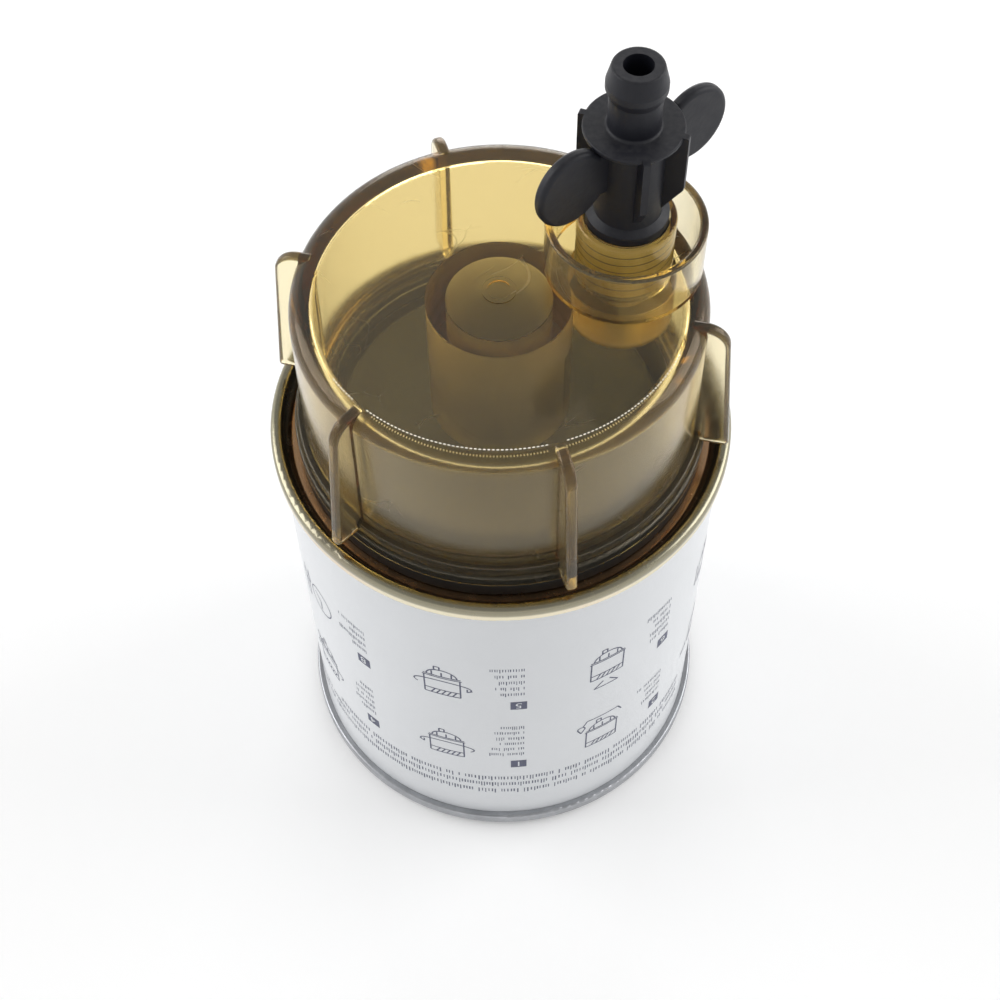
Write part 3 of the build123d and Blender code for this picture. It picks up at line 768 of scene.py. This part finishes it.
def digit_mesh(text, size):
    """Flat points and faces of a digit, centred, from the plain built-in letterform."""
    curve = bpy.data.curves.new("digit", "FONT")
    curve.body = text
    curve.size = size
    curve.align_x = "CENTER"
    curve.align_y = "CENTER"
    holder = bpy.data.objects.new("digit", curve)
    mesh = bpy.data.meshes.new_from_object(holder)
    points = np.empty(len(mesh.vertices) * 3)
    mesh.vertices.foreach_get("co", points)
    points = points.reshape(-1, 3)[:, :2]
    faces = [np.array([list(face.vertices)]) for face in mesh.polygons]
    bpy.data.objects.remove(holder)
    bpy.data.curves.remove(curve)
    bpy.data.meshes.remove(mesh)
    return points - (points.min(axis=0) + points.max(axis=0)) / 2, faces


def print_numbers(paint, radius):
    """White numbers on the squares, upside down like the rest of the print."""
    points, faces, count = [], [], 0
    for column, row, middle, height in step_places(paint, radius):
        shape, polygons = digit_mesh(str(column % 4 + 4 * row + 1), paint.square * DIGIT_SIZE)
        points.append(np.array([middle, height]) - shape)
        faces += [polygon + count for polygon in polygons]
        count += len(shape)
    placed = wrap(np.concatenate(points), radius + INK_THICKNESS)
    make_piece("step_numbers", placed, faces, "can", ink_finish("white_ink", paint.enamel))


def ellipsoid(along, across, up, around=8, rings=3):
    """Closed ellipsoid: poles above and below, and rings of points at even steps of latitude."""
    latitude = np.linspace(-pi / 2, pi / 2, rings + 2)[1:-1, None]
    angle = np.linspace(0, 2 * pi, around, endpoint=False)[None, :]
    ring_points = np.stack(
        [
            along * np.cos(latitude) * np.cos(angle),
            across * np.cos(latitude) * np.sin(angle),
            up * np.sin(latitude) + 0 * angle,
        ],
        axis=-1,
    ).reshape(-1, 3)
    points = np.concatenate([ring_points, [[0, 0, -up], [0, 0, up]]])
    step = np.arange(around)
    following = (step + 1) % around
    sides = [
        np.stack([step, following, following + around, step + around], axis=1) + ring * around
        for ring in range(rings - 1)
    ]
    low_cap = np.stack([following, step, np.full(around, rings * around)], axis=1)
    top = (rings - 1) * around
    high_cap = np.stack([step + top, following + top, np.full(around, rings * around + 1)], axis=1)
    return points, [*sides, low_cap, high_cap]


def glint_bead_ring(radius, height, pitch, size):
    """Painted glints as beads along the front of a circle, left out at the ribs: one shape copied and turned
    to each angle.
    """
    angles = np.arange(radians(BEADS_START), radians(BEADS_END), pitch / radius)
    away = np.abs((np.degrees(angles) - RIB_FIRST + RIB_STEP / 2) % RIB_STEP - RIB_STEP / 2)
    angles = angles[away > RIB_GAP][:, None]
    points, faces = ellipsoid(*size)
    reach = radius + points[None, :, 1]
    side = points[None, :, 0]
    x = reach * np.cos(angles) - side * np.sin(angles)
    y = reach * np.sin(angles) + side * np.cos(angles)
    z = height + points[None, :, 2] + 0 * angles
    shift = (np.arange(len(angles)) * len(points))[:, None, None]
    copies = [(group[None] + shift).reshape(-1, group.shape[1]) for group in faces]
    return np.stack([x, y, z], axis=-1), copies


def thread_ridge(root, tip, start=0.0):
    """Helical ridge about the drain's axis: three points, root, tip and root, carried along a helix.

    Angle and height grow together by a pitch for each turn, and the tip sinks to the root at both ends.
    """
    turns = (THREAD_HIGH - THREAD_LOW) / THREAD_PITCH
    count = int(turns * THREAD_STEPS)
    along = np.linspace(0, 1, count)
    angle = start + 2 * pi * turns * along
    fade = np.clip(np.minimum(along, 1 - along) * turns * THREAD_FADE, THREAD_FEATHER, 1)
    reach = np.stack([np.full(count, root), root + (tip - root) * fade, np.full(count, root)], axis=1)
    flank = np.array([-THREAD_HALF, 0.0, THREAD_HALF])[None, :] * THREAD_PITCH
    lift = THREAD_LOW + (THREAD_HIGH - THREAD_LOW) * along[:, None] + flank
    x = DRAIN_X + reach * np.cos(angle)[:, None]
    y = DRAIN_Y + reach * np.sin(angle)[:, None]
    first = np.arange(count - 1)[:, None] * 3
    side = np.arange(3)[None, :]
    following = (side + 1) % 3
    corners = [first + side, first + side + 3, first + following + 3, first + following]
    quads = np.stack(corners, axis=-1).reshape(-1, 4)
    ends = np.array([[0, 1, 2], [3 * count - 1, 3 * count - 2, 3 * count - 3]])
    if tip < root:
        quads, ends = quads[:, ::-1], ends[:, ::-1]
    return np.stack([x, y, lift], axis=-1), [quads, ends]


# Operators


def dress(node, material):
    """Gives a CAD node its finish."""
    node = frame["nodes"][node]
    node.data.materials.clear()
    node.data.materials.append(material)


class SEPARATOR_OT_can(bpy.types.Operator):
    """Paints the can"""

    bl_idname = "separator.can"
    bl_label = "Paint the can"

    def execute(self, context):
        dress("can_shell", enamel_finish(context.scene.separator_paint))
        return {"FINISHED"}


class SEPARATOR_OT_print(bpy.types.Operator):
    """Prints the numbered steps on the can"""

    bl_idname = "separator.print"
    bl_label = "Print the steps"

    def execute(self, context):
        paint = context.scene.separator_paint
        radius = outside_radius("can_shell", paint.upper_row) + INK_THICKNESS
        print_steps(paint, radius).finish("step_print", radius, ink_finish("dark_ink", paint.ink))
        print_numbers(paint, radius)
        return {"FINISHED"}


class SEPARATOR_OT_seams(bpy.types.Operator):
    """Plates the two seam covers and the two thick plates under them"""

    bl_idname = "separator.seams"
    bl_label = "Plate the seams"

    def execute(self, context):
        plating = context.scene.separator_plating
        dress("bowl_seam_cover", yellow_zinc_finish(plating))
        dress("head_seam_cover", galvanised_finish(plating))
        plate = steel_finish("plated_plate", plating.steel, low=0.3, high=0.5)
        dress("head_plate", plate)
        dress("bowl_ring_plate", plate)
        return {"FINISHED"}


class SEPARATOR_OT_bowl(bpy.types.Operator):
    """Makes the bowl amber, with beads of painted glints round the front of its end plate and the thread in
    its neck
    """

    bl_idname = "separator.bowl"
    bl_label = "Mould the bowl"

    def execute(self, context):
        plastics = context.scene.separator_plastics
        dress("bowl", amber_finish(plastics))
        # Beads of painted glints on the plate's edge and, seen through the plate, on the ceiling's corner
        glint_material = glint_finish(plastics.painted_glint)
        points, faces = glint_bead_ring(PLATE_FLAT, PLATE_HEIGHT, PLATE_BEAD_PITCH, PLATE_BEAD)
        make_piece("plate_glint_beads", points, faces, "bowl", glint_material)
        ceiling = PLATE_HEIGHT - PLATE_THICKNESS
        points, faces = glint_bead_ring(PLATE_FLAT - CEILING_INSET, ceiling, CEILING_BEAD_PITCH, CEILING_BEAD)
        make_piece("ceiling_glint_beads", points, faces, "bowl", glint_material)
        points, faces = thread_ridge(NECK_ROOT, NECK_TIP, start=pi)
        golden = plastic_finish("golden_thread", plastics.thread, low=0.15, high=0.3)
        make_piece("drain_socket_thread", points, faces, "bowl", golden)
        return {"FINISHED"}


class SEPARATOR_OT_valve(bpy.types.Operator):
    """Makes the drain valve charcoal and cuts its thread"""

    bl_idname = "separator.valve"
    bl_label = "Mould the valve"

    def execute(self, context):
        plastics = context.scene.separator_plastics
        charcoal = plastic_finish("charcoal_plastic", plastics.charcoal, low=0.40, high=0.58, gloss=0.36)
        dress("drain_valve", charcoal)
        points, faces = thread_ridge(SHANK_ROOT, SHANK_TIP)
        make_piece("drain_valve_thread", points, faces, "valve", charcoal)
        return {"FINISHED"}


class SEPARATOR_OT_seals(bpy.types.Operator):
    """Gives the gasket, the bowl's seal, the O-rings and the grommet their rubber"""

    bl_idname = "separator.seals"
    bl_label = "Finish the seals"

    def execute(self, context):
        rubber = rubber_finish()
        nodes = ("head_gasket", "bowl_seal_ring", "valve_nose_ring", "valve_shank_ring", "element_grommet")
        for node in nodes:
            dress(node, rubber)
        return {"FINISHED"}


class SEPARATOR_OT_element(bpy.types.Operator):
    """Finishes the filter element and the spring that holds it"""

    bl_idname = "separator.element"
    bl_label = "Finish the element"

    def execute(self, context):
        plastics = context.scene.separator_plastics
        dark = plastic_finish("dark_cap_plastic", plastics.element_dark, low=0.3, high=0.5)
        dress("element_bowl_cap", dark)
        tinned = steel_finish("tinned_steel", TINPLATE, low=0.2, high=0.35)
        for node in ("element_head_cap", "element_core", "pleat_clip"):
            dress(node, tinned)
        dress("element_spring", steel_finish("spring_steel", SPRING_GREY, low=0.25, high=0.4))
        dress("pleated_media", paper_finish())
        resin = resin_finish()
        dress("head_potting", resin)
        dress("bowl_potting", resin)
        return {"FINISHED"}


def area_lamp(name, power, place):
    """A square soft lamp turned towards the object."""
    data = bpy.data.lights.new(name, "AREA")
    data.shape = "SQUARE"
    data.size = LAMP_SIZE
    data.energy = power
    lamp = bpy.data.objects.new(name, data)
    bpy.context.scene.collection.objects.link(lamp)
    lamp.location = place
    lamp.rotation_euler = (Vector(LAMP_TARGET) - Vector(place)).to_track_quat("-Z", "Y").to_euler()


def seen_rays(tree):
    """1 for rays from the camera, from gloss and through glass, otherwise 0."""
    path = put(tree, "ShaderNodeLightPath").outputs
    seen = maths(tree, "ADD", path["Is Camera Ray"], path["Is Glossy Ray"])
    return maths(tree, "ADD", seen, path["Is Transmission Ray"], clamp=True)


def make_world(stage):
    """Even light, and for the camera, gloss and glass a room that is white low down and dimmer overhead."""
    world = bpy.data.worlds.new("studio")
    world.use_nodes = True
    tree = world.node_tree
    tree.nodes.clear()
    direction = put(tree, "ShaderNodeTexCoord").outputs["Generated"]
    height = put(tree, "ShaderNodeSeparateXYZ", {0: direction}).outputs["Z"]
    room = remap(tree, height, ROOM_LOW, ROOM_HIGH, 1.0, stage.overhead)
    sockets = {"Factor": seen_rays(tree), 2: stage.world, 3: room}
    strength = put(tree, "ShaderNodeMix", sockets, data_type="FLOAT")
    background = put(tree, "ShaderNodeBackground", {"Color": WHITE, "Strength": strength.outputs[0]})
    tree.links.new(background.outputs[0], put(tree, "ShaderNodeOutputWorld").inputs["Surface"])
    bpy.context.scene.world = world


def make_floor(stage):
    """Pale floor that keeps the shadow and turns white away from it."""
    corners = [(x * FLOOR_HALF, y * FLOOR_HALF, 0) for x, y in ((-1, -1), (1, -1), (1, 1), (-1, 1))]
    mesh = bpy.data.meshes.new("floor")
    mesh.from_pydata(corners, [], [(0, 1, 2, 3)])
    floor = bpy.data.objects.new("floor", mesh)
    bpy.context.scene.collection.objects.link(floor)
    finish = Finish("pale_floor", Roughness=0.9, Specular_IOR_Level=0.1)
    finish.shader.inputs["Base Color"].default_value = (*stage.floor, 1.0)
    finish.shader.inputs["Emission Color"].default_value = WHITE
    glow = maths(finish.tree, "MULTIPLY", seen_rays(finish.tree), stage.floor_glow)
    feed(finish.tree, finish.shader.inputs["Emission Strength"], glow)
    mesh.materials.append(finish.material)


def make_camera(stage):
    """Camera at the photograph's angle: looks down by the pitch, then turns by the roll."""
    forward = Vector((0.0, cos(stage.camera_pitch), -sin(stage.camera_pitch)))
    level_up = Vector((0.0, sin(stage.camera_pitch), cos(stage.camera_pitch)))
    level_right = Vector((1.0, 0.0, 0.0))
    right = level_right * cos(stage.camera_roll) + level_up * sin(stage.camera_roll)
    up = level_up * cos(stage.camera_roll) - level_right * sin(stage.camera_roll)
    data = bpy.data.cameras.new("camera")
    data.sensor_width = SENSOR_WIDTH
    data.lens = stage.camera_lens
    data.clip_start = CLIP_START
    camera = bpy.data.objects.new("camera", data)
    bpy.context.scene.collection.objects.link(camera)
    turn = Matrix((right, up, -forward)).transposed().to_4x4()
    place = Vector(stage.camera_target) - forward * stage.camera_distance
    camera.matrix_world = Matrix.Translation(place) @ turn
    bpy.context.scene.camera = camera


class SEPARATOR_OT_stage(bpy.types.Operator):
    """Sets out the floor, the lamps, the world and the camera"""

    bl_idname = "separator.stage"
    bl_label = "Set the stage"

    def execute(self, context):
        stage = context.scene.separator_stage
        make_world(stage)
        make_floor(stage)
        area_lamp("left_lamp", stage.side_lamps, LEFT_LAMP)
        area_lamp("right_lamp", stage.side_lamps, RIGHT_LAMP)
        area_lamp("back_lamp", stage.back_lamp, BACK_LAMP)
        make_camera(stage)
        context.scene.view_settings.view_transform = "Standard"
        return {"FINISHED"}


OPERATORS = (
    SEPARATOR_OT_can,
    SEPARATOR_OT_print,
    SEPARATOR_OT_seams,
    SEPARATOR_OT_bowl,
    SEPARATOR_OT_valve,
    SEPARATOR_OT_seals,
    SEPARATOR_OT_element,
    SEPARATOR_OT_stage,
)

SETTINGS = {
    "separator_paint": SeparatorPaint,
    "separator_plating": SeparatorPlating,
    "separator_plastics": SeparatorPlastics,
    "separator_stage": SeparatorStage,
}


class SEPARATOR_PT_panel(bpy.types.Panel):
    """Lists the pieces and their settings."""

    bl_idname = "SEPARATOR_PT_panel"
    bl_label = "Fuel water separator"
    bl_space_type = "VIEW_3D"
    bl_region_type = "UI"
    bl_category = "Separator"

    def draw(self, context):
        for operator in OPERATORS:
            self.layout.operator(operator.bl_idname)
        for name in SETTINGS:
            box = self.layout.box()
            settings = getattr(context.scene, name)
            for field in settings.bl_rna.properties:
                if field.identifier not in ("rna_type", "name"):
                    box.prop(settings, field.identifier)


def register():
    """Adds the settings, the operators and the panel."""
    for name, settings in SETTINGS.items():
        bpy.utils.register_class(settings)
        setattr(bpy.types.Scene, name, PointerProperty(type=settings))
    for operator in OPERATORS:
        bpy.utils.register_class(operator)
    bpy.utils.register_class(SEPARATOR_PT_panel)


def unregister():
    """Takes the panel, the operators and the settings away again."""
    bpy.utils.unregister_class(SEPARATOR_PT_panel)
    for operator in reversed(OPERATORS):
        bpy.utils.unregister_class(operator)
    for name, settings in SETTINGS.items():
        delattr(bpy.types.Scene, name)
        bpy.utils.unregister_class(settings)


def main():
    """Registers the add-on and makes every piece."""
    register()
    for operator in OPERATORS:
        group, name = operator.bl_idname.split(".")
        getattr(getattr(bpy.ops, group), name)()


if __name__ == "__main__":
    main()
